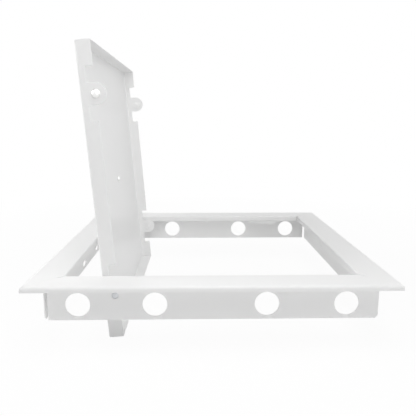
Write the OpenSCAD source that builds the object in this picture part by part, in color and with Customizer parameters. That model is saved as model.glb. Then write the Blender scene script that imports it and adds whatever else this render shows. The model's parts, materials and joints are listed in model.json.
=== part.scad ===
// Ceiling access panel: a mitred flange frame of folded sheet, with a folded door on two pivot studs.
// The origin is the middle of the frame, on the plane where the flange lip meets the ceiling.
// +Z points out of the ceiling, X runs from the hinge side to the catch side, and the pivots lie along Y.

/* [Frame] */
// Outer width of the flange, along X
frame_w = 330; // [300:1:640]
// Outer length of the flange, along Y
frame_l = 330; // [300:1:640]
// Width of the flange, from its outer edge to its folded inner edge, the nose
flange_w = 30.5; // [27:0.5:45]
// Drop of the lip that meets the ceiling
lip_h = 5; // [3:0.5:8]
// Height of the nose
nose_h = 7.4; // [5:0.2:8]
// Thickness of the frame sheet
frame_t = 0.8; // [0.6:0.1:1.2]
// Outside radius of the bend between flange and lip
lip_bend_r = 2.6; // [1.3:0.1:2.8]
// Outside radius of the frame's other bends
frame_bend_r = 1.4; // [1.3:0.1:2.4]
// Setback of the skirt from the flange's outer edge
skirt_inset = 15; // [8:0.5:18]
// Depth of the skirt below the flange face
skirt_h = 36; // [34:1:80]
// Gap between a skirt's left end, seen from outside, and the corner of the skirt box
skirt_gap_l = 3.5; // [1.5:0.5:6]
// The same gap at the skirt's right end
skirt_gap_r = 1; // [0.5:0.5:6]
// Chamfer on the lower corner of the skirt's right end
skirt_chamfer = 2.4; // [1:0.2:5]
// Gap between two rails along their mitre
mitre_gap = 0.2; // [0.1:0.05:0.5]
// Width of the relief slit at the inner end of a mitre
relief_w = 1; // [0.6:0.1:2]
// Length of that slit, along the mitre
relief_l = 8; // [4:0.5:14]
// Width of the small tab at the middle of each rail
tab_w = 5; // [3:0.5:10]
// Drop of that tab below the nose
tab_h = 2.2; // [1:0.2:5]

/* [Skirt openings] */
// Diameter of the keying holes in the front and back skirts
key_hole_d = 22; // [10:0.5:24]
// Distance from the corner of the skirt box to the outer keying holes
key_hole_end = 30; // [20:1:36]
// Pitch of the two middle keying holes
key_hole_pitch = 100; // [60:1:110]
// Shift of the middle keying holes towards the hinge side
key_hole_shift = 1.6; // [0:0.1:4]
// Length of the fixing slots in the hinge side's skirt
slot_l = 14; // [8:0.5:24]
// Width of the fixing slots
slot_w = 6; // [4:0.5:8]
// Pitch of the fixing slots
slot_pitch = 70; // [40:1:100]
// Height of the slots' centre line above the skirt's lower edge
slot_rise = 6.5; // [5:0.5:12]

/* [Corner cleats] */
// Length of a cleat's legs, from the outside of its corner
cleat_leg = 40; // [25:1:80]
// Clearance of a cleat in the hollow of the rails
cleat_clear = 0.2; // [0.1:0.05:0.5]

/* [Door] */
// Gap between the door and the nose on three sides
door_gap = 0.8; // [0.6:0.1:3]
// Gap between the door's hinge end, which swings past the nose, and the nose
hinge_gap = 1.3; // [1.2:0.1:3]
// Thickness of the door sheet
door_t = 0.8; // [0.6:0.1:1.2]
// Depth of the door's folded walls
door_h = 13.6; // [12:0.2:20]
// Outside radius of the door's folds
door_bend_r = 1.6; // [1.4:0.1:2.4]
// Gap between the door's end walls and its front and back walls, at the corners
door_seam = 0.3; // [0.2:0.1:2]
// Width of the tongues in the front and back walls
tongue_w = 19; // [15:0.5:26]
// Width of the notch on each side of a tongue
notch_w = 13.6; // [8:0.2:16]
// Height of wall left above the notches
notch_land = 6.8; // [4:0.2:10]
// Opening angle of the door as drawn
door_open = 94.3; // [0:0.1:140]

/* [Pivots] */
// Distance from the door's hinge end to the pivot
pivot_inset = 46.5; // [44:0.5:50]
// Depth of the pivots and the catch studs below the door's face
pivot_depth = 13.3; // [12:0.1:18]
// Diameter of the pivot holes in the skirts
pivot_hole_d = 6; // [4:0.1:8]
// Radial clearance of a pivot in its hole
pivot_clear = 0.05; // [0.01:0.01:0.1]
// Depth of the pivot's end inside the skirt's outer face
pivot_recess = 0.2; // [0:0.1:0.5]
// Chamfer on the pivot's end
pivot_chamfer = 0.4; // [0.2:0.1:0.8]
// Diameter of the shoulder between tongue and skirt
shoulder_d = 9; // [8.5:0.5:12]
// Gap between the shoulder and the skirt
shoulder_gap = 0.5; // [0.3:0.1:1]

/* [Catch] */
// Distance from the door's free end to the catch studs
catch_inset = 45; // [42:0.5:60]
// Diameter of the catch dome
dome_d = 8; // [6:0.5:10]
// Height of the catch dome
dome_h = 3; // [2.4:0.1:3.6]
// Thickness of the keeper strip
keeper_t = 0.8; // [0.6:0.1:1.2]
// Length of the keeper strip
keeper_l = 41; // [36:1:60]
// Shift of the keeper's middle towards the hinge side
keeper_shift = 6; // [0:0.5:8]
// Drop of the keeper strip below the nose, beside its teeth
keeper_drop = 1.9; // [1.5:0.1:3.5]
// Setback of the keeper strip behind the nose
keeper_setback = 0.2; // [0.1:0.1:1]
// Width of the keeper's two teeth at their tips
tooth_w = 5; // [3:0.5:7]
// Height of the teeth's tips above the middle of the dome
tooth_lap = 0.6; // [0.2:0.1:1.5]
// Clearance between the dome and the keeper
keeper_clear = 0.3; // [0.2:0.05:0.6]

/* [Rivets] */
// Diameter of the stud shanks in the tongues
shank_d = 4; // [3:0.1:5]
// Radial clearance of the stud shanks in tongues and washers
shank_clear = 0.05; // [0.02:0.01:0.1]
// Diameter of the backing washers
washer_d = 11; // [8:0.5:15]
// Thickness of the backing washers
washer_t = 0.8; // [0.5:0.1:1.5]
// Diameter of the riveted ends of the studs
rivet_d = 6.6; // [5.5:0.1:7.5]
// Height of those ends
rivet_h = 0.9; // [0.5:0.1:1.5]
// Diameter of the stud in the middle of the door
centre_d = 6; // [5:0.5:10]
// Height of that stud above the inside of the door
centre_h = 2.3; // [1:0.1:6]
// Diameter of that stud where it goes through the sheet
centre_shank_d = 4.6; // [3:0.1:4.8]

/* [Hidden] */
$fn = 64;
// Overshoot of cutters, so that no cut ends on a face
cut = 1;
paint = [0.94, 0.94, 0.93];
zinc = [0.72, 0.73, 0.74];
plated = [0.86, 0.86, 0.87];

// Heights
face_z = lip_h;
skirt_z = face_z - skirt_h;
leg_z = face_z - nose_h;
axis_z = face_z - pivot_depth;
wall_mid_z = (leg_z + skirt_z) / 2;

// Rails, across their width
nose_u = flange_w - frame_bend_r;
leg_u = skirt_inset + frame_bend_r;
skirt_half_w = frame_w / 2 - skirt_inset;

// Door and what it carries
door_w = frame_w - 2 * flange_w - door_gap - hinge_gap;
door_l = frame_l - 2 * (flange_w + door_gap);
door_x = (hinge_gap - door_gap) / 2;
pivot_x = door_x - door_w / 2 + pivot_inset;
catch_x = door_x + door_w / 2 - catch_inset;
tongue_xs = [pivot_x, catch_x];
stud_reach = door_gap + flange_w - skirt_inset - frame_t;

// Dome, as a slice of a sphere, and its radius where it passes the keeper
dome_sphere_r = (pow(dome_d / 2, 2) + pow(dome_h, 2)) / (2 * dome_h);
keeper_pass = door_gap + keeper_setback + dome_sphere_r - dome_h;
keeper_notch_r = sqrt(max(0, pow(dome_sphere_r, 2) - pow(keeper_pass, 2))) + keeper_clear;

// Radius of the low crown on a riveted end
rivet_crown_r = (pow(rivet_d / 2, 2) + pow(rivet_h / 2, 2)) / rivet_h;

// A quarter of a bend in the sheet, round its centre, in the quadrant that starts at the given angle
module bend(r, t, start) {
    rotate(start) intersection() {
        difference() {
            circle(r);
            circle(r - t);
        }
        square(r);
    }
}

// Section of a rail: x goes in from the outer edge, y is height above the flange face
module rail_section() {
    t = frame_t;
    r = frame_bend_r;
    translate([0, -lip_h]) square([t, lip_h - lip_bend_r]);
    translate([lip_bend_r, -lip_bend_r]) bend(lip_bend_r, t, 90);
    translate([lip_bend_r, -t]) square([nose_u - lip_bend_r, t]);
    translate([nose_u, -r]) bend(r, t, 0);
    translate([flange_w - t, r - nose_h]) square([t, nose_h - 2 * r]);
    translate([nose_u, r - nose_h]) bend(r, t, -90);
    translate([leg_u, -nose_h]) square([nose_u - leg_u, t]);
    translate([leg_u, t - nose_h - r]) bend(r, t, 90);
    translate([skirt_inset, -skirt_h]) square([t, skirt_h - nose_h + t - r]);
}

// Plan of a rail, with its mitred ends and the wider relief slit towards the opening
module rail_plan(len) {
    gap = mitre_gap / sqrt(2);
    slit = relief_w / sqrt(2);
    slit_u = flange_w - relief_l / sqrt(2);
    end_u = flange_w + cut;
    half = [
        [len / 2 - gap, 0], [len / 2 - gap - slit_u, slit_u],
        [len / 2 - slit - slit_u, slit_u], [len / 2 - slit - end_u, end_u]
    ];
    polygon(concat(half, [for (i = [3:-1:0]) [-half[i][0], half[i][1]]]));
}

// The right end of a skirt, cut back from the corner by the given gap and chamfered below
module skirt_end(len, gap, chamfer) {
    end_x = len / 2 - skirt_inset - gap;
    width = frame_bend_r + 2 * frame_t;
    translate([end_x, skirt_inset - frame_t, skirt_z - cut])
        cube([skirt_inset + gap + cut, width, leg_z + frame_t - skirt_z + cut]);
    if (chamfer > 0) translate([end_x, skirt_inset + frame_t / 2, skirt_z])
        rotate([0, 45, 0]) cube([chamfer * sqrt(2), width, chamfer * sqrt(2)], center = true);
}

// A plain rail along X, its outer edge on the X axis and its opening side towards +Y
module rail(len) {
    difference() {
        intersection() {
            translate([0, 0, face_z]) rotate([90, 0, 90])
                linear_extrude(len, center = true) rail_section();
            translate([0, 0, skirt_z - cut]) linear_extrude(skirt_h + 2 * cut) rail_plan(len);
        }
        skirt_end(len, skirt_gap_r, skirt_chamfer);
        mirror([1, 0, 0]) skirt_end(len, skirt_gap_l, 0);
    }
    translate([-tab_w / 2, flange_w - frame_t, leg_z - tab_h])
        cube([tab_w, frame_t, tab_h + nose_h / 2]);
}

// A round cutter through a skirt at the given place along it and height
module skirt_drill(x, z, d) {
    translate([x, skirt_inset - cut, z]) rotate([-90, 0, 0]) cylinder(d = d, h = frame_t + 2 * cut);
}

// Rail of the front, with its keying holes and its pivot hole; along is -1 if it is to be turned to the back
module drilled_rail(along) {
    outer_x = skirt_half_w - key_hole_end;
    translate([0, -frame_l / 2, 0]) difference() {
        rail(frame_w);
        for (side = [-1, 1]) {
            skirt_drill(side * outer_x, wall_mid_z, key_hole_d);
            skirt_drill(along * (side * key_hole_pitch / 2 - key_hole_shift), wall_mid_z, key_hole_d);
        }
        skirt_drill(along * pivot_x, axis_z, pivot_hole_d);
    }
}

module front_rail() color(paint) drilled_rail(1);

module back_rail() color(paint) rotate([0, 0, 180]) drilled_rail(-1);

module left_rail() color(paint)
    translate([-frame_w / 2, 0, 0]) rotate([0, 0, -90]) difference() {
        rail(frame_l);
        for (i = [-1:1]) {
            for (end = [-1, 1])
                skirt_drill(i * slot_pitch + end * (slot_l - slot_w) / 2, skirt_z + slot_rise, slot_w);
            translate([i * slot_pitch, skirt_inset, skirt_z + slot_rise])
                cube([slot_l - slot_w, 2 * cut + 2 * frame_t, slot_w], center = true);
        }
    }

module right_rail() color(paint) translate([frame_w / 2, 0, 0]) rotate([0, 0, 90]) rail(frame_l);

// Corner cleat of the front left corner: an L that lies on the return legs, in the hollow under the flange
module cleat() {
    in_u = leg_u + cleat_clear;
    width = nose_u - cleat_clear - in_u;
    translate([-frame_w / 2 + in_u, -frame_l / 2 + in_u, leg_z + frame_t])
        linear_extrude(nose_h - 2 * frame_t - cleat_clear) {
            square([cleat_leg, width]);
            square([width, cleat_leg]);
        }
}

module front_left_cleat() color(zinc) cleat();

module front_right_cleat() color(zinc) mirror([1, 0, 0]) cleat();

module back_left_cleat() color(zinc) mirror([0, 1, 0]) cleat();

module back_right_cleat() color(zinc) rotate([0, 0, 180]) cleat();

// Face of the keeper strip, with two teeth round the dome; x from the dome's middle, y in part height
module keeper_face() {
    plate_z = leg_z - keeper_drop;
    tip_z = axis_z + tooth_lap;
    tip_x = keeper_notch_r + tooth_w;
    root_x = tip_x + plate_z - tip_z;
    difference() {
        union() {
            translate([-keeper_l / 2 - keeper_shift, plate_z]) square([keeper_l, leg_z - plate_z]);
            polygon([[-root_x, plate_z], [-tip_x, tip_z], [tip_x, tip_z], [root_x, plate_z]]);
        }
        translate([0, axis_z]) circle(keeper_notch_r);
    }
}

// Keeper of the front: the toothed strip and its fixing leg under the rail's return leg
module keeper() {
    leg_start = skirt_inset + 2 * frame_t;
    leg_end = flange_w - keeper_setback;
    translate([catch_x, -frame_l / 2, 0]) {
        translate([0, leg_end, 0]) rotate([90, 0, 0]) linear_extrude(keeper_t) keeper_face();
        translate([-keeper_l / 2 - keeper_shift, leg_start, leg_z - keeper_t])
            cube([keeper_l, leg_end - leg_start, keeper_t]);
    }
}

module front_keeper() color(paint) keeper();

module back_keeper() color(paint) mirror([0, 1, 0]) keeper();

// Turns what is modelled with the door shut to the angle at which the door stands
module on_door() {
    translate([pivot_x, 0, axis_z]) rotate([0, -door_open, 0]) translate([-pivot_x, 0, -axis_z]) children();
}

// Rectangle below the X axis, with its two upper corners rounded
module round_top(w, h, r) {
    translate([-w / 2, -h]) square([w, h - r]);
    translate([r - w / 2, -h]) square([w - 2 * r, h]);
    for (side = [-1, 1]) translate([side * (w / 2 - r), -r]) circle(r);
}

// Block with round upper edges, its top on the XY plane
module round_block(w, l, h, r) {
    intersection() {
        rotate([90, 0, 0]) linear_extrude(l, center = true) round_top(w, h, r);
        rotate([90, 0, 90]) linear_extrude(w, center = true) round_top(l, h, r);
    }
}

// Cut-out in a wall round one tongue
module tongue_notch() {
    width = tongue_w + 2 * notch_w;
    translate([-width / 2, -door_h - cut]) square([width, door_h + cut - notch_land]);
}

// One tongue, with its round end about the stud and the hole for the shank
module tongue() {
    difference() {
        union() {
            translate([-tongue_w / 2, -pivot_depth]) square([tongue_w, pivot_depth - door_bend_r]);
            translate([0, -pivot_depth]) circle(d = tongue_w);
        }
        translate([0, -pivot_depth]) circle(shank_d / 2 + shank_clear);
    }
}

module door_tray() color(paint) on_door() translate([0, 0, face_z]) {
    difference() {
        translate([door_x, 0, 0]) round_block(door_w, door_l, door_h, door_bend_r);
        translate([door_x, 0, -door_t])
            round_block(door_w - 2 * door_t, door_l - 2 * door_t, door_h, door_bend_r - door_t);
        for (sx = [-1, 1], sy = [-1, 1])
            translate([door_x + sx * door_w / 2, sy * (door_l / 2 - door_t - door_seam / 2), -door_h - door_bend_r])
                cube([4 * door_t, door_seam, 2 * door_h], center = true);
        for (x = tongue_xs)
            translate([x, door_l / 2 + cut, 0])
                rotate([90, 0, 0]) linear_extrude(door_l + 2 * cut) tongue_notch();
        translate([door_x, 0, -door_t - cut])
            cylinder(r = centre_shank_d / 2 + shank_clear, h = door_t + 2 * cut);
    }
    for (x = tongue_xs, y = [-door_l / 2 + door_t, door_l / 2])
        translate([x, y, 0]) rotate([90, 0, 0]) linear_extrude(door_t) tongue();
}

// Sets a turned piece, drawn along +Z from the outside of the tongue, on the front wall of the door
module on_tongue(x) {
    on_door() translate([x, -door_l / 2, axis_z]) rotate([90, 0, 0]) children();
}

// Half section of a stud's shank and riveted end, below the outside of the tongue
module shank_section() {
    grip = door_t + washer_t;
    translate([0, -grip - rivet_h / 2]) square([shank_d / 2, grip + rivet_h / 2]);
    translate([0, -grip - rivet_h / 2]) square([rivet_d / 2, rivet_h / 2]);
    intersection() {
        translate([0, -grip - rivet_h]) square([rivet_d / 2, rivet_h / 2]);
        translate([0, rivet_crown_r - grip - rivet_h]) circle(rivet_crown_r);
    }
}

module washer() {
    translate([0, 0, -door_t - washer_t]) difference() {
        cylinder(d = washer_d, h = washer_t);
        translate([0, 0, -cut]) cylinder(r = shank_d / 2 + shank_clear, h = washer_t + 2 * cut);
    }
}

// Shoulder stud that carries the door in the skirt's pivot hole
module hinge_stud() {
    pin_r = pivot_hole_d / 2 - pivot_clear;
    pin_end = stud_reach + frame_t - pivot_recess;
    rotate_extrude() {
        shank_section();
        square([shoulder_d / 2, stud_reach - shoulder_gap]);
        polygon([
            [0, 0], [pin_r, 0], [pin_r, pin_end - pivot_chamfer],
            [pin_r - pivot_chamfer, pin_end], [0, pin_end]
        ]);
    }
}

// Domed stud that snaps behind the keeper
module catch_stud() {
    rotate_extrude() {
        shank_section();
        intersection() {
            translate([0, dome_h - dome_sphere_r]) circle(dome_sphere_r);
            square([dome_d / 2, dome_h]);
        }
    }
}

module front_hinge_stud() color(zinc) on_tongue(pivot_x) hinge_stud();

module back_hinge_stud() color(zinc) mirror([0, 1, 0]) on_tongue(pivot_x) hinge_stud();

module front_hinge_washer() color(paint) on_tongue(pivot_x) washer();

module back_hinge_washer() color(paint) mirror([0, 1, 0]) on_tongue(pivot_x) washer();

module front_catch_stud() color(plated) on_tongue(catch_x) catch_stud();

module back_catch_stud() color(plated) mirror([0, 1, 0]) on_tongue(catch_x) catch_stud();

module front_catch_washer() color(paint) on_tongue(catch_x) washer();

module back_catch_washer() color(paint) mirror([0, 1, 0]) on_tongue(catch_x) washer();

// Clinched stud, flush with the door's face
module centre_stud() color(plated) on_door() translate([door_x, 0, face_z - door_t]) {
    cylinder(d = centre_shank_d, h = door_t);
    translate([0, 0, -centre_h]) cylinder(d = centre_d, h = centre_h);
}

front_rail();
back_rail();
left_rail();
right_rail();
front_left_cleat();
front_right_cleat();
back_left_cleat();
back_right_cleat();
front_keeper();
back_keeper();
door_tray();
front_hinge_stud();
back_hinge_stud();
front_hinge_washer();
back_hinge_washer();
front_catch_stud();
back_catch_stud();
front_catch_washer();
back_catch_washer();
centre_stud();
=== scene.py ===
import bmesh
import bpy
import json
import math
from mathutils import Matrix, Vector


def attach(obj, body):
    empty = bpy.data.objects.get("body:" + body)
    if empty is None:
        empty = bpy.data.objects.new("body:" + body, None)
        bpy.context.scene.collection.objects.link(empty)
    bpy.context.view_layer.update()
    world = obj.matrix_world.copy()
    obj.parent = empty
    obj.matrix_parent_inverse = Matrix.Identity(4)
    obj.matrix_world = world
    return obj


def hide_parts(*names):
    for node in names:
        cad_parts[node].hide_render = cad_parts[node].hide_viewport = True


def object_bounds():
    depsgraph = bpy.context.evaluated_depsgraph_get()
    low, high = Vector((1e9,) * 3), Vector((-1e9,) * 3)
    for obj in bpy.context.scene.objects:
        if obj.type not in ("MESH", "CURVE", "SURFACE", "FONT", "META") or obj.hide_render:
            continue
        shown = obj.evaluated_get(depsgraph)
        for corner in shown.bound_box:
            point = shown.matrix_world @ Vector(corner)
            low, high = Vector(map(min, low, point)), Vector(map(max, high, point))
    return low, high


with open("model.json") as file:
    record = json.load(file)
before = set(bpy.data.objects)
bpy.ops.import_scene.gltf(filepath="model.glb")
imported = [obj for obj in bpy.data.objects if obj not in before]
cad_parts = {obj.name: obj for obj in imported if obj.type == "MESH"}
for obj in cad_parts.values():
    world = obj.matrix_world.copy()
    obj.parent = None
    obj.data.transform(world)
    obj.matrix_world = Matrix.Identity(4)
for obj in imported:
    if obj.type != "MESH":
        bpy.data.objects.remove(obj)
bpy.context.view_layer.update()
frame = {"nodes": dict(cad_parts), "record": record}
mm = 0.001
print("frame loaded:", len(frame["nodes"]), "nodes")


class Sock:  # one output socket, with the operators that the sums below need
    def __init__(self, net, socket):
        self.net, self.socket = net, socket

    def out(self, name):
        return Sock(self.net, self.net.pick(self.socket.node.outputs, name))

    def math(self, operation, other=0.0, swapped=False):
        pair = (other, self) if swapped else (self, other)
        return self.net.node("ShaderNodeMath", {"operation": operation}, {0: pair[0], 1: pair[1]})

    def __add__(self, other): return self.math("ADD", other)
    def __radd__(self, other): return self.math("ADD", other, True)
    def __sub__(self, other): return self.math("SUBTRACT", other)
    def __rsub__(self, other): return self.math("SUBTRACT", other, True)
    def __mul__(self, other): return self.math("MULTIPLY", other)
    def __rmul__(self, other): return self.math("MULTIPLY", other, True)
    def __truediv__(self, other): return self.math("DIVIDE", other)
    def __rtruediv__(self, other): return self.math("DIVIDE", other, True)
    def __pow__(self, other): return self.math("POWER", other)
    def __neg__(self): return self.math("MULTIPLY", -1.0)


class Net:  # a node tree that is being wired
    def __init__(self, tree):
        self.tree = tree

    def pick(self, sockets, key):
        if isinstance(key, int):
            return sockets[key]
        return next(s for s in sockets if s.name == key and s.enabled)

    def node(self, kind, settings=None, sockets=None):
        made = self.tree.nodes.new(kind)
        for name, value in (settings or {}).items():
            if name == "items":
                while len(made.index_switch_items) < value:
                    made.index_switch_items.new()
            else:
                setattr(made, name, value)
        for key, value in (sockets or {}).items():
            socket = self.pick(made.inputs, key)
            for one in value if isinstance(value, list) else [value]:
                if isinstance(one, Sock):
                    self.tree.links.new(one.socket, socket)
                else:
                    socket.default_value = one
        shown = [s for s in made.outputs if s.enabled]
        return Sock(self, shown[0]) if shown else made

    def xyz(self, x=0.0, y=0.0, z=0.0):
        return self.node("ShaderNodeCombineXYZ", {}, {"X": x, "Y": y, "Z": z})

    def mixed(self, factor, first, second):
        return self.node("ShaderNodeMix", {"data_type": "RGBA"},
                         {"Factor": factor, "A": (*first, 1), "B": (*second, 1)}).out("Result")

    def noise(self, place, scale, detail, roughness):
        return self.node("ShaderNodeTexNoise", {}, {"Vector": place, "Scale": scale, "Detail": detail,
                                                    "Roughness": roughness})

    def bump(self, strength, lift, height):
        return self.node("ShaderNodeBump", {}, {"Strength": strength, "Distance": lift, "Height": height})


# Finishes

def finish(name):
    made = bpy.data.materials.new(name)
    made.use_nodes = True
    net = Net(made.node_tree)
    shader = made.node_tree.nodes["Principled BSDF"]
    place = net.node("ShaderNodeTexCoord").out("Object")
    return made, net, shader, place


def fit(net, shader, **links):
    for name, value in links.items():
        socket = shader.inputs[name.replace("_", " ")]
        if isinstance(value, Sock):
            net.tree.links.new(value.socket, socket)
        else:
            socket.default_value = value


# each noise of a finish has a scale, a detail and a roughness
powder = {"white": (0.93, 0.93, 0.926), "shade": (0.91, 0.911, 0.91), "rough": 0.27, "ior": 1.45,
          "cloud": (7.0, 4.0, 0.55), "peel": (620.0, 1.5, 0.4), "grain": (2900.0, 1.0, 0.5),
          "bump": 0.35, "lift": 0.05 * mm}


def powderCoat():
    made, net, shader, place = finish("whitePowder")
    cloud, peel, grain = (net.noise(place, *powder[k]) for k in ("cloud", "peel", "grain"))
    fit(net, shader, Base_Color=net.mixed(cloud * 0.8 + grain * 0.2, powder["white"], powder["shade"]),
        Roughness=powder["rough"] + cloud * 0.10 + grain * 0.04,
        Normal=net.bump(powder["bump"], powder["lift"], peel * 0.75 + grain * 0.25), IOR=powder["ior"])
    return made


zinc = {"bright": (0.68, 0.69, 0.71), "dull": (0.50, 0.51, 0.53), "rough": 0.26,
        "blotch": (160.0, 3.0, 0.6), "scratch": (3200.0, 2.0, 0.5), "bump": 0.25, "lift": 0.05 * mm}


def zincPlate():
    made, net, shader, place = finish("zincPlate")
    blotch, scratch = (net.noise(place, *zinc[k]) for k in ("blotch", "scratch"))
    fit(net, shader, Base_Color=net.mixed(blotch, zinc["bright"], zinc["dull"]), Metallic=1.0,
        Roughness=zinc["rough"] + blotch * 0.22 + scratch * 0.06,
        Normal=net.bump(zinc["bump"], zinc["lift"], scratch))
    return made


nickel = {"bright": (0.95, 0.948, 0.94), "dull": (0.88, 0.877, 0.868), "rough": 0.24,
          "blotch": (240.0, 3.0, 0.6), "hair": (4200.0, 1.0, 0.5), "bump": 0.12, "lift": 0.03 * mm}


def brightNickel():
    made, net, shader, place = finish("brightNickel")
    blotch, hair = (net.noise(place, *nickel[k]) for k in ("blotch", "hair"))
    fit(net, shader, Base_Color=net.mixed(blotch, nickel["bright"], nickel["dull"]), Metallic=1.0,
        Roughness=nickel["rough"] + blotch * 0.10 + hair * 0.04,
        Normal=net.bump(nickel["bump"], nickel["lift"], hair))
    return made


paint, plate, shine = powderCoat(), zincPlate(), brightNickel()
print("finishes made")


# Helpers for pieces

sheetEdge = {"rail": 0.16 * mm, "keeper": 0.14 * mm, "door": 0.34 * mm, "steps": 2, "angle": 40.0}
cadAngle = {"flat": 0.4, "sharp": 32.0}  # below flat, triangles join to one face; above sharp, an edge stays sharp
weld = {"cad": 2e-6, "prism": 1e-6, "spun": 3e-5}  # points this close are merged


def linked(name, data):
    made = bpy.data.objects.new(name, data)
    bpy.context.scene.collection.objects.link(made)
    return made


def piece(name, mesh, body, nodes):
    made = linked(name, mesh)
    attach(made, body)
    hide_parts(*nodes)


def edged(obj, width):
    if width:
        bevel = obj.modifiers.new("edge", "BEVEL")
        bevel.width, bevel.segments, bevel.limit_method = width, sheetEdge["steps"], "ANGLE"
        bevel.angle_limit, bevel.use_clamp_overlap = math.radians(sheetEdge["angle"]), False
        bevel.miter_outer = "MITER_SHARP"
    level = obj.modifiers.new("level", "WEIGHTED_NORMAL")  # flat faces stay flat beside their rounded edges
    level.keep_sharp, level.weight = True, 100


def baked(obj):
    seen = obj.evaluated_get(bpy.context.evaluated_depsgraph_get())
    mesh = bpy.data.meshes.new_from_object(seen)
    mesh.name = obj.name
    old = obj.data
    bpy.data.objects.remove(obj)
    bpy.data.meshes.remove(old)
    return mesh


def softened(name, width):  # a copy of a CAD node with its sheet edges rounded
    work = bmesh.new()
    work.from_mesh(frame["nodes"][name].data)
    bmesh.ops.remove_doubles(work, verts=work.verts, dist=weld["cad"])
    bmesh.ops.dissolve_limit(work, angle_limit=math.radians(cadAngle["flat"]), verts=work.verts, edges=work.edges)
    mesh = bpy.data.meshes.new(name)
    work.to_mesh(mesh)
    work.free()
    mesh.shade_smooth()
    made = linked(name + "Work", mesh)
    edged(made, width)
    mesh = baked(made)
    mesh.materials.clear()
    mesh.materials.append(paint)
    return mesh


lathe = {"sides": 72, "axis": 1e-5, "steps": 3}  # a spun shape follows a tiny circle round its axis


class Tree(Net):  # a Geometry Nodes tree with named inputs
    def __init__(self, name, **sizes):
        super().__init__(bpy.data.node_groups.new(name, "GeometryNodeTree"))
        self.tree.interface.new_socket("Geometry", in_out="OUTPUT", socket_type="NodeSocketGeometry")
        self.keys = {}
        for label, value in sizes.items():
            kind = "NodeSocketInt" if isinstance(value, int) else "NodeSocketFloat"
            item = self.tree.interface.new_socket(label, in_out="INPUT", socket_type=kind)
            item.default_value = value
            self.keys[label] = item.identifier
        source = self.tree.nodes.new("NodeGroupInput")
        self.size = {label: Sock(self, source.outputs[label]) for label in sizes}

    def index(self):
        return self.node("GeometryNodeInputIndex")

    def position(self):
        return self.node("ShaderNodeSeparateXYZ", {}, {"Vector": self.node("GeometryNodeInputPosition")})

    def chosen(self, kind, values):  # the value that stands at each point's index
        return self.node("GeometryNodeIndexSwitch", {"data_type": kind, "items": len(values)},
                         {"Index": self.index(), **{str(i): v for i, v in enumerate(values)}})

    def polyline(self, points):
        line = self.node("GeometryNodeMeshLine", {}, {"Count": len(points)})
        placed = self.node("GeometryNodeSetPosition", {}, {"Geometry": line, "Position": self.chosen("VECTOR", points)})
        return self.node("GeometryNodeMeshToCurve", {}, {"Mesh": placed})

    def rounded(self, line, steps, radius, limit=True):
        return self.node("GeometryNodeFilletCurve", {"mode": "POLY"}, {"Curve": line, "Count": steps, "Radius": radius,
                                                                       "Limit Radius": limit})

    def upright(self, line):
        return self.node("GeometryNodeSetCurveNormal", {"mode": "Z_UP"}, {"Curve": line})

    def swept(self, line, section):
        return self.node("GeometryNodeCurveToMesh", {}, {"Curve": line, "Profile Curve": section})

    def welded(self, shape, gap):
        return self.node("GeometryNodeMergeByDistance", {}, {"Geometry": shape, "Distance": gap})

    def block(self, x, y, z):
        return self.node("GeometryNodeMeshCube", {}, {"Size": self.xyz(x, y, z)})

    def prism(self, face, depth):
        raised = self.node("GeometryNodeExtrudeMesh", {}, {"Mesh": face, "Offset": (0, 0, 1),
                                                           "Offset Scale": depth, "Individual": False})
        under = self.node("GeometryNodeFlipFaces", {}, {"Mesh": face})
        both = self.node("GeometryNodeJoinGeometry", {}, {"Geometry": [raised, under]})
        return self.welded(both, weld["prism"])

    def moved(self, shape, place=(0, 0, 0), turn=(0, 0, 0)):
        return self.node("GeometryNodeTransform", {}, {"Geometry": shape, "Translation": place, "Rotation": turn})

    def row(self, count, start, step):
        return self.node("GeometryNodeMeshLine", {}, {"Count": count, "Start Location": start, "Offset": step})

    def real(self, shape):
        return self.node("GeometryNodeRealizeInstances", {}, {"Geometry": shape})

    def repeated(self, points, shape, turn=(0, 0, 0)):
        return self.real(self.node("GeometryNodeInstanceOnPoints", {}, {"Points": points, "Instance": shape,
                                                                        "Rotation": turn}))

    def joined(self, *shapes):
        return self.node("GeometryNodeMeshBoolean", {"operation": "UNION", "solver": "EXACT"}, {1: list(shapes)})

    def cut(self, shape, cutters):
        return self.node("GeometryNodeMeshBoolean", {"operation": "DIFFERENCE", "solver": "EXACT"},
                         {"Mesh 1": shape, "Mesh 2": cutters})

    def spun(self, section, edge, closed=False):  # section points are radius and height
        line = self.polyline([self.xyz(r, -1 * h) for r, h in section])
        if closed:
            line = self.node("GeometryNodeSetSplineCyclic", {}, {"Geometry": line, "Cyclic": True})
        axis = self.node("GeometryNodeCurvePrimitiveCircle", {"mode": "RADIUS"},
                         {"Resolution": lathe["sides"], "Radius": lathe["axis"]})
        body = self.swept(self.upright(axis), self.rounded(line, lathe["steps"], edge))
        return self.welded(body, weld["spun"])

    def dressed(self, shape, material, where=True):
        return self.node("GeometryNodeSetMaterial", {}, {"Geometry": shape, "Selection": where, "Material": material})

    def end(self, shape, material, painted=None):  # painted: faces closer than that to the door's middle are white
        smooth = self.node("GeometryNodeSetShadeSmooth", {}, {"Geometry": self.real(shape)})
        whole = self.dressed(smooth, material)
        if painted:
            inside = self.node("FunctionNodeCompare", {"data_type": "FLOAT", "operation": "LESS_THAN"},
                               {"A": self.position().out("Y").math("ABSOLUTE"), "B": painted})
            whole = self.dressed(whole, paint, inside)
        self.node("NodeGroupOutput", {}, {"Geometry": whole})
        return self

    def made(self, name, width=0.0, **values):
        obj = linked(name + "Work", bpy.data.meshes.new(name))
        run = obj.modifiers.new("make", "NODES")
        run.node_group = self.tree
        for label, value in values.items():
            run[self.keys[label]] = value
        edged(obj, width)
        return baked(obj)


# Rails of the flange frame: one folded section, mitred at both ends and pierced in its skirt

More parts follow.
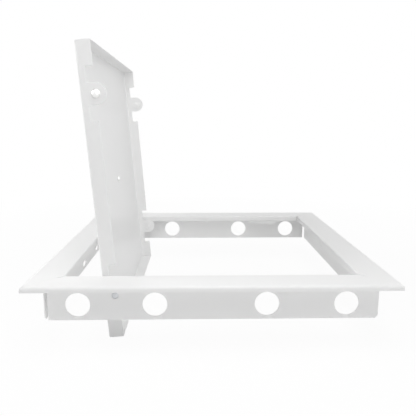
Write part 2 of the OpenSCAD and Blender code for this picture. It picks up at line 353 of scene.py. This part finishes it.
rail = {"Length": 330 * mm, "Flange": 30.5 * mm, "Lip": 5 * mm, "Nose": 7.4 * mm, "Sheet": 0.8 * mm,
        "Bend": 1.4 * mm, "LipBend": 2.6 * mm, "Inset": 15 * mm, "Skirt": 36 * mm, "Mitre": 0.06 * mm,
        "Slit": 1 * mm, "SlitRun": 8 * mm, "LeftGap": 3.5 * mm, "RightGap": 1 * mm, "EndCut": 2.4 * mm,
        "TabWidth": 5 * mm, "TabDrop": 2.2 * mm, "HoleWidth": 22 * mm, "OuterSpan": 240 * mm,
        "InnerSpan": 100 * mm, "InnerShift": 0.0, "PivotPlace": 0.0, "PivotWidth": 6 * mm, "PivotDrop": 13.3 * mm,
        "SlotLength": 14 * mm, "SlotWidth": 6 * mm, "SlotPitch": 70 * mm, "SlotRise": 6.5 * mm,
        "Holes": 0, "Pivots": 0, "Slots": 0}
railSteps = {"bend": 9, "hole": 72, "pivot": 36, "slot": 10}
slotRound = 0.4999  # of the width, just under half so that no points coincide
over = 4 * mm  # spare length of the cutters


def railTree():
    t = Tree("railSweep", **rail)
    s = t.size
    half = s["Sheet"] / 2
    skirtZ, legZ = s["Lip"] - s["Skirt"], s["Lip"] - s["Nose"]
    wallY, midZ = s["Inset"] + half, (legZ + skirtZ) / 2
    sheetMid = [t.xyz(half, -s["Lip"]), t.xyz(half, -half), t.xyz(s["Flange"] - half, -half),
                t.xyz(s["Flange"] - half, half - s["Nose"]), t.xyz(wallY, half - s["Nose"]),
                t.xyz(wallY, -s["Skirt"])]
    bends = t.chosen("FLOAT", [s["LipBend" if i == 1 else "Bend"] - half for i in range(len(sheetMid))])
    line = t.upright(t.rounded(t.polyline(sheetMid), railSteps["bend"], bends))
    across = t.node("GeometryNodeCurvePrimitiveLine", {}, {"Start": t.xyz(-half), "End": t.xyz(half)})
    body = t.prism(t.swept(line, across), s["Length"])
    # along the rail, each point keeps its share of the length that the mitre leaves at its width
    spot = t.position()
    wide, high, along = spot, spot.out("Y"), spot.out("Z")
    left = s["Length"] / 2 - wide - s["Mitre"] / math.sqrt(2)
    body = t.node("GeometryNodeSetPosition", {}, {"Geometry": body, "Position": t.xyz(
        (along / s["Length"] * 2 - 1) * left, wide, high + s["Lip"])})
    tab = t.moved(t.block(s["TabWidth"], s["Sheet"], s["TabDrop"] + s["Nose"] / 2),
                  t.xyz(0.0, s["Flange"] - half, legZ - s["TabDrop"] / 2 + s["Nose"] / 4))
    body = t.joined(body, tab)

    def endBlock(gap, way):
        span = s["Inset"] + gap + over
        return t.moved(t.block(span, s["Bend"] + s["Sheet"] * 2, legZ + s["Sheet"] - skirtZ + over),
                       t.xyz((s["Length"] / 2 - s["Inset"] - gap + span / 2) * way, s["Inset"] + s["Bend"] / 2,
                             (legZ + s["Sheet"] + skirtZ - over) / 2))

    side = s["EndCut"] * math.sqrt(2)
    wedge = t.moved(t.moved(t.block(side, over, side), turn=(0, math.pi / 4, 0)),
                    t.xyz(s["Length"] / 2 - s["Inset"] - s["RightGap"], wallY, skirtZ))
    slitU = s["Flange"] - (s["SlitRun"] - over) / (2 * math.sqrt(2))
    slitX = s["Length"] / 2 - slitU
    tilt = t.xyz(0.0, 0.0, (t.index() * -2 + 1) * (math.pi / 4))
    slits = t.repeated(t.row(2, t.xyz(-slitX, slitU), t.xyz(slitX * 2)),
                       t.block(s["SlitRun"] + over, s["Slit"], s["Nose"] * 4), tilt)
    body = t.cut(body, [endBlock(s["LeftGap"], -1), endBlock(s["RightGap"], 1), wedge, slits])

    through = (math.pi / 2, 0, 0)

    def drill(width, sides):
        return t.moved(t.node("GeometryNodeMeshCylinder", {}, {"Vertices": sides, "Radius": width / 2, "Depth": over}),
                       turn=through)

    keying = drill(s["HoleWidth"], railSteps["hole"])
    outer = t.repeated(t.row(s["Holes"], t.xyz(s["OuterSpan"] / -2, wallY, midZ), t.xyz(s["OuterSpan"])), keying)
    inner = t.repeated(t.row(s["Holes"], t.xyz(s["InnerShift"] - s["InnerSpan"] / 2, wallY, midZ),
                             t.xyz(s["InnerSpan"])), keying)
    pivot = t.repeated(t.row(s["Pivots"], t.xyz(s["PivotPlace"], wallY, s["Lip"] - s["PivotDrop"]), t.xyz()),
                       drill(s["PivotWidth"], railSteps["pivot"]))
    slot = t.node("GeometryNodeCurvePrimitiveQuadrilateral", {}, {"Width": s["SlotLength"], "Height": s["SlotWidth"]})
    slot = t.rounded(slot, railSteps["slot"], s["SlotWidth"] * slotRound, False)
    slot = t.prism(t.node("GeometryNodeFillCurve", {"mode": "NGONS"}, {"Curve": slot}), over)
    slot = t.moved(t.moved(slot, (0, 0, -over / 2)), turn=through)
    slots = t.repeated(t.row(s["Slots"], t.xyz(-s["SlotPitch"], wallY, skirtZ + s["SlotRise"]),
                             t.xyz(s["SlotPitch"])), slot)
    return t.end(t.cut(body, [outer, inner, pivot, slots]), paint)


pivotX, keyShift, reach = -86.7 * mm, -1.6 * mm, 165 * mm
railPlaces = {
    "front": {"turn": 0.0, "away": (0, -reach, 0),
              "sizes": {"Holes": 2, "Pivots": 1, "InnerShift": keyShift, "PivotPlace": pivotX}},
    "back": {"turn": math.pi, "away": (0, reach, 0),
             "sizes": {"Holes": 2, "Pivots": 1, "InnerShift": -keyShift, "PivotPlace": -pivotX}},
    "left": {"turn": -math.pi / 2, "away": (-reach, 0, 0), "sizes": {"Slots": 3}},
    "right": {"turn": math.pi / 2, "away": (reach, 0, 0), "sizes": {}}}

sweep = railTree()
for side, spot in railPlaces.items():
    mesh = sweep.made(side + "Rail", sheetEdge["rail"], **{**rail, **spot["sizes"]})
    mesh.transform(Matrix.Translation(spot["away"]) @ Matrix.Rotation(spot["turn"], 4, "Z"))
    piece(side + "Rail", mesh, "frame", [side + "_rail"])
print("rails made")

# Keepers and door, with the rounded edges of coated sheet

for side in ("front", "back"):
    node = side + "_keeper"
    piece(side + "Keeper", softened(node, sheetEdge["keeper"]), "frame", [node])
piece("doorTray", softened("door_tray", sheetEdge["door"]), "door", ["door_tray"])
print("keepers and door made")

# Studs and washers of the door, spun from their half sections and set on the front and back walls

wallSpots = {"Along": 0.0, "Spread": 267.4 * mm, "Height": -8.3 * mm}
rivet = {"Shank": 2 * mm, "Grip": 1.6 * mm, "Rivet": 3.3 * mm, "RivetHeight": 0.9 * mm, "Edge": 0.18 * mm}


def capped(radius, height, steps=7):  # points of a low dome, from its axis out to its rim
    ball = (radius * radius + height * height) / (height * 2)
    spots = [radius * (k / steps) for k in range(steps + 1)]
    return [(r, (ball * ball - r * r) ** 0.5 - ball + height) for r in spots]


def onWalls(t, shape):  # one on the front wall and one on the back wall, each facing out
    s = t.size
    spots = t.row(2, t.xyz(s["Along"], s["Spread"] / -2, s["Height"]), t.xyz(0.0, s["Spread"], 0.0))
    return t.repeated(spots, shape, t.xyz((t.index() * -2 + 1) * (math.pi / 2)))


def studEnd(t, outside, material):  # the outside of a stud, with its shank and riveted end added
    s = t.size
    rim = [(r, -1 * h - s["Grip"] - s["RivetHeight"] / 2) for r, h in capped(s["Rivet"], s["RivetHeight"] / 2)]
    shank = [(s["Shank"], 0.0), (s["Shank"], -1 * s["Grip"]), (s["Rivet"], -1 * s["Grip"])]
    whole = onWalls(t, t.spun(outside + shank + rim[::-1], s["Edge"]))
    return t.end(whole, material, s["Spread"] / 2 - s["Grip"])


hingeStud = {**wallSpots, **rivet, "Shoulder": 4.5 * mm, "Reach": 15 * mm, "Pin": 2.95 * mm, "PinEnd": 16.7 * mm,
             "Tip": 0.7 * mm}


def hingeStudTree():
    t = Tree("hingeStud", **hingeStud)
    s = t.size
    tip = [(r, s["PinEnd"] - s["Tip"] + h) for r, h in capped(s["Pin"], s["Tip"])]
    pin = [(s["Pin"], s["Reach"]), (s["Shoulder"], s["Reach"]), (s["Shoulder"], 0.0)]
    return studEnd(t, tip + pin, plate)


catchStud = {**wallSpots, **rivet, "Dome": 4 * mm, "DomeHeight": 3 * mm}


def catchStudTree():
    t = Tree("catchStud", **catchStud)
    return studEnd(t, capped(t.size["Dome"], t.size["DomeHeight"], steps=9), shine)


washer = {**wallSpots, "Bore": 2.05 * mm, "Rim": 5.5 * mm, "Thick": 0.8 * mm, "Under": 0.8 * mm, "Edge": 0.22 * mm}


def washerTree():
    t = Tree("washer", **washer)
    s = t.size
    low = -1 * s["Under"] - s["Thick"]
    ring = [(s["Bore"], -1 * s["Under"]), (s["Rim"], -1 * s["Under"]), (s["Rim"], low), (s["Bore"], low)]
    return t.end(onWalls(t, t.spun(ring, s["Edge"], True)), paint)


centre = {"Head": 3 * mm, "HeadHeight": 2.3 * mm, "Shank": 2.3 * mm, "Sheet": 0.8 * mm, "Dome": 1.5 * mm,
          "Edge": 0.3 * mm}


def centreStudTree():
    t = Tree("centreStud", **centre)
    s = t.size
    under = -1 * s["Sheet"]
    foot = under - s["HeadHeight"]
    cap = [(r, foot + s["Dome"] - h) for r, h in capped(s["Head"], s["Dome"])]
    shape = [(0.0, 0.0), (s["Shank"], 0.0), (s["Shank"], under), (s["Head"], under), *cap[::-1]]
    return t.end(t.spun(shape, s["Edge"]), shine)


door = {"open": 94.3, "catchX": 88.7 * mm, "middleX": 0.25 * mm, "faceZ": 5 * mm}


def onDoor(name, mesh, slot, *nodes):  # made with the door shut, then turned to where the door stands
    axis = Vector((pivotX, 0, wallSpots["Height"]))
    swing = Matrix.Rotation(math.radians(-door["open"]), 4, "Y")
    mesh.transform(Matrix.Translation(axis) @ swing @ Matrix.Translation(-axis))
    piece(name, mesh, "door", nodes)


ringTree = washerTree()
for name, tree, sizes, along, slot, node in (
        ("hingeStuds", hingeStudTree(), hingeStud, pivotX, "zinc_steel", "hinge_stud"),
        ("catchStuds", catchStudTree(), catchStud, door["catchX"], "plated_stud", "catch_stud"),
        ("hingeWashers", ringTree, washer, pivotX, "painted_sheet", "hinge_washer"),
        ("catchWashers", ringTree, washer, door["catchX"], "painted_sheet", "catch_washer")):
    onDoor(name, tree.made(name, **{**sizes, "Along": along}), slot, "front_" + node, "back_" + node)
middle = centreStudTree().made("centreStud", **centre)
middle.transform(Matrix.Translation((door["middleX"], 0, door["faceZ"])))
onDoor("centreStud", middle, "plated_stud", "centre_stud")
print("studs and washers made")

metal = {"zinc_steel": plate, "plated_stud": shine}
slots = {s["node"]: s["material_slot"] for s in frame["record"]["subparts"]}
for name, node in frame["nodes"].items():
    node.data.materials.clear()
    node.data.materials.append(metal.get(slots[name], paint))
    node.data.shade_smooth()
    node.data.set_sharp_from_angle(angle=math.radians(cadAngle["sharp"]))

# Camera

view = {"eye": (-0.01382, -0.54618, 0.14369), "pitch": 10.48, "yaw": 1.34, "roll": 0.10, "lens": 40.64,
        "sensor": 36, "clip": (0.01, 100)}


def setCamera():
    pitch, yaw, roll = (math.radians(view[k]) for k in ("pitch", "yaw", "roll"))
    ahead = Vector((math.sin(yaw) * math.cos(pitch), math.cos(yaw) * math.cos(pitch), -math.sin(pitch)))
    right = Vector((math.cos(yaw), -math.sin(yaw), 0))
    up = right.cross(ahead)
    side = right * math.cos(roll) + up * math.sin(roll)
    top = up * math.cos(roll) - right * math.sin(roll)
    data = bpy.data.cameras.new("camera")
    data.lens, data.sensor_width = view["lens"], view["sensor"]
    data.clip_start, data.clip_end = view["clip"]
    made = linked("camera", data)
    made.matrix_world = Matrix.Translation(view["eye"]) @ Matrix((side, top, -ahead)).transposed().to_4x4()
    bpy.context.scene.camera = made


# Studio

studio = {"world": 0.28, "floor": 0.97, "glow": 0.94, "fade": (0.25, 0.75), "drop": 0.6 * mm, "size": 6}


def seenRays(net):  # 1 for what the camera sees, straight or in a reflection, and 0 for light on surfaces
    rays = net.node("ShaderNodeLightPath")
    mirrored = rays.out("Is Camera Ray").math("MAXIMUM", rays.out("Is Glossy Ray"))
    return mirrored.math("MAXIMUM", rays.out("Is Transmission Ray"))


def setWorld():
    scene = bpy.context.scene
    scene.view_settings.view_transform = "Standard"
    scene.world = bpy.data.worlds.new("studio")
    scene.world.use_nodes = True
    net = Net(scene.world.node_tree)
    back = scene.world.node_tree.nodes["Background"]
    net.tree.links.new((studio["world"] + seenRays(net) * (1 - studio["world"])).socket, back.inputs["Strength"])
    back.inputs["Color"].default_value = (1, 1, 1, 1)


def paleFloor():
    made = bpy.data.materials.new("paleFloor")
    made.use_nodes = True
    net = Net(made.node_tree)
    made.node_tree.nodes.remove(made.node_tree.nodes["Principled BSDF"])
    matt = net.node("ShaderNodeBsdfDiffuse", {}, {"Color": (*[studio["floor"]] * 3, 1)})
    glow = net.node("ShaderNodeEmission", {}, {"Color": (1, 1, 1, 1), "Strength": 1.0})
    away = net.node("ShaderNodeVectorMath", {"operation": "LENGTH"},
                    {0: net.node("ShaderNodeTexCoord").out("Object")})
    start, stop = studio["fade"]
    far = ((away - start) / (stop - start)).math("MAXIMUM", 0.0).math("MINIMUM", 1.0)
    share = studio["glow"] + far * (1 - studio["glow"])  # the shadow fades out before the floor ends
    lit = net.node("ShaderNodeMixShader", {}, {0: seenRays(net) * share, 1: matt, 2: glow})
    clear = net.node("ShaderNodeBsdfTransparent")
    under = net.node("ShaderNodeNewGeometry").out("Backfacing")
    whole = net.node("ShaderNodeMixShader", {}, {0: under, 1: lit, 2: clear})
    net.tree.links.new(whole.socket, made.node_tree.nodes["Material Output"].inputs["Surface"])
    return made


def setFloor():
    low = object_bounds()[0].z - studio["drop"]
    work = bmesh.new()
    bmesh.ops.create_grid(work, x_segments=1, y_segments=1, size=studio["size"])
    mesh = bpy.data.meshes.new("floor")
    work.to_mesh(mesh)
    work.free()
    mesh.transform(Matrix.Translation((0, 0, low)))
    mesh.materials.append(paleFloor())
    floor = linked("floor", mesh)


lamps = {"left": {"at": (-1.7, -0.2, 0.85), "size": 1.2, "power": 16.0},
         "right": {"at": (1.65, -0.2, 0.85), "size": 1.2, "power": 5.0},
         "front": {"at": (0.9, -1.6, 0.3), "size": 1.2, "power": 5.0},
         "over": {"at": (0.0, -0.1, 1.9), "size": 1.2, "power": 6.0},
         "near": {"at": (0.05, -0.3, 0.5), "size": 0.4, "power": 0.75}}


def setLamps():
    for name, lamp in lamps.items():
        data = bpy.data.lights.new(name, "AREA")
        data.shape, data.size, data.energy = "DISK", lamp["size"], lamp["power"]
        made = linked(name + "Lamp", data)
        made.location = lamp["at"]
        made.rotation_euler = (-Vector(lamp["at"])).to_track_quat("-Z", "Y").to_euler()


setCamera()
setWorld()
setFloor()
setLamps()
print("camera and studio set")
